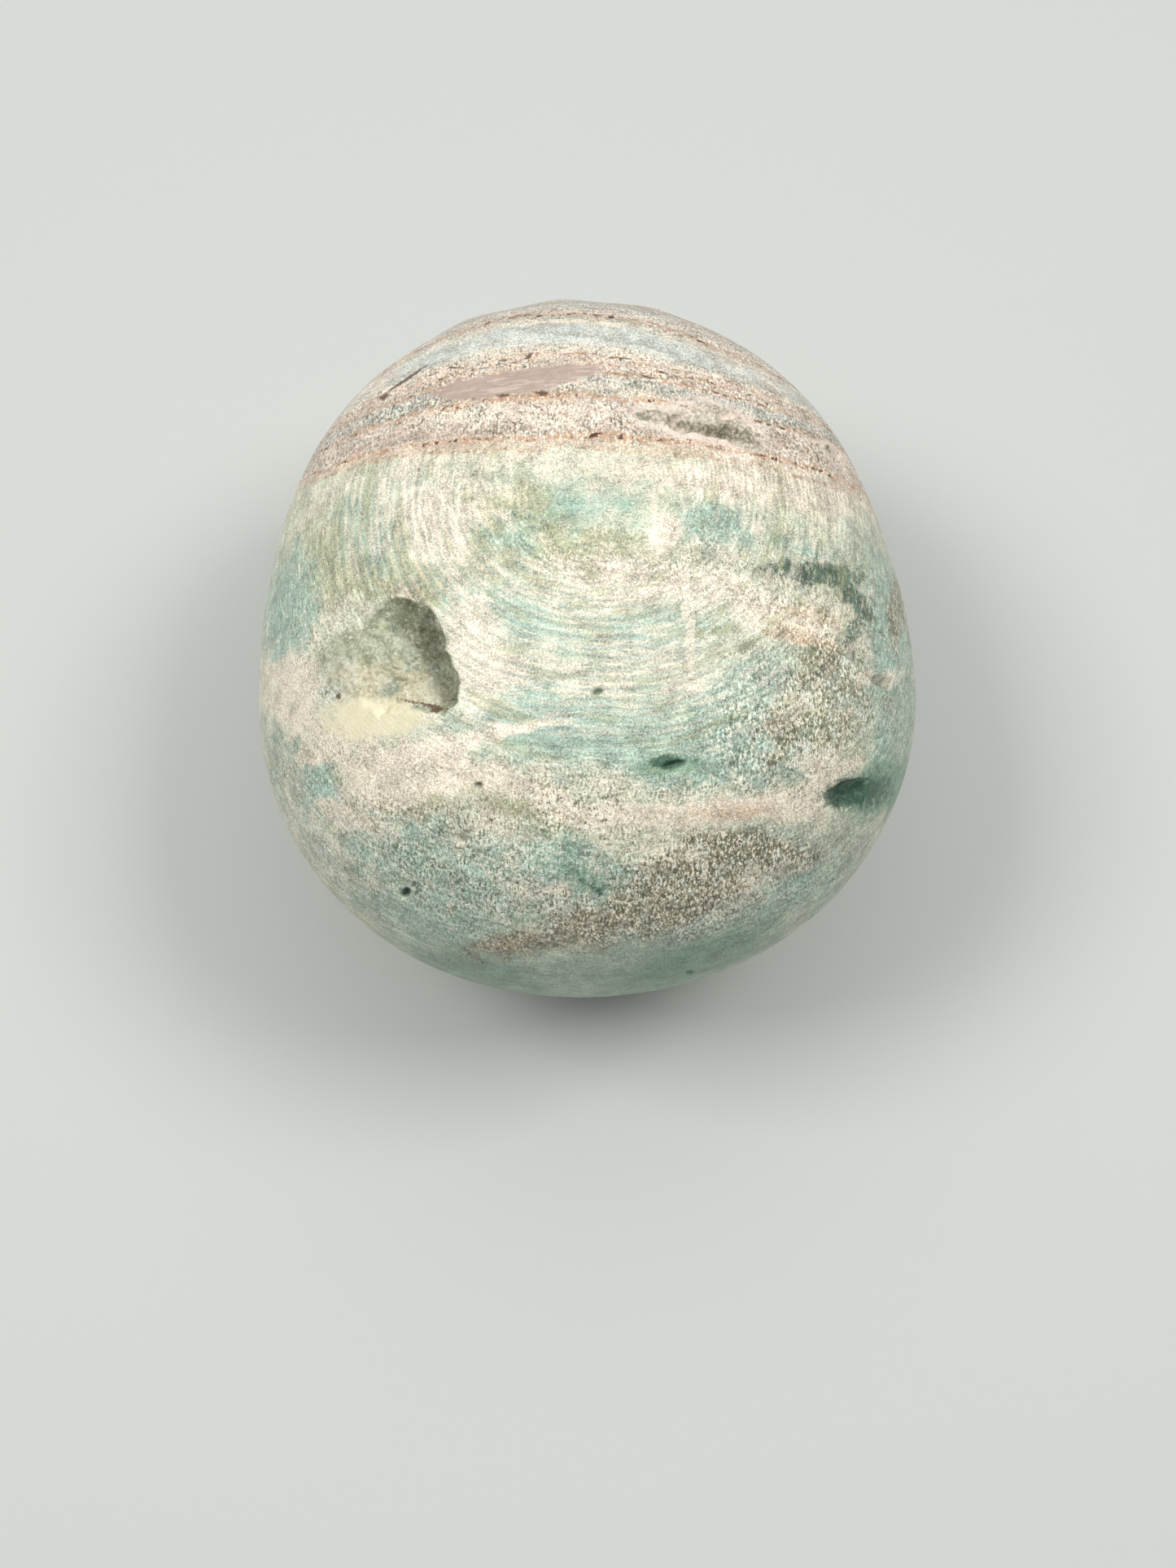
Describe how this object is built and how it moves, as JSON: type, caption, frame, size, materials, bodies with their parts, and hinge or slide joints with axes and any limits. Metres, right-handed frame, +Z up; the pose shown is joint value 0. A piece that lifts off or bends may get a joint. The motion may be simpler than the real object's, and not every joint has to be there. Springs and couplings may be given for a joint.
{
  "type": "skull carving",
  "caption": "Palm-sized human skull carved and polished from one piece of banded green, cream and grey-brown hemimorphite, resting on its flat base.",
  "frame": {"origin": "on the flat base, in the skull's plane of symmetry, under the middle of the dome", "axes": "-Y is the way the face looks, +Y the back of the head, +X the skull's left side, +Z up"},
  "size_m": [0.072, 0.0788, 0.065],
  "materials": {
    "skull": "polished, semi-gloss"
  },
  "bodies": {
    "root": {"skull": "skull"}
  },
  "joints": []
}
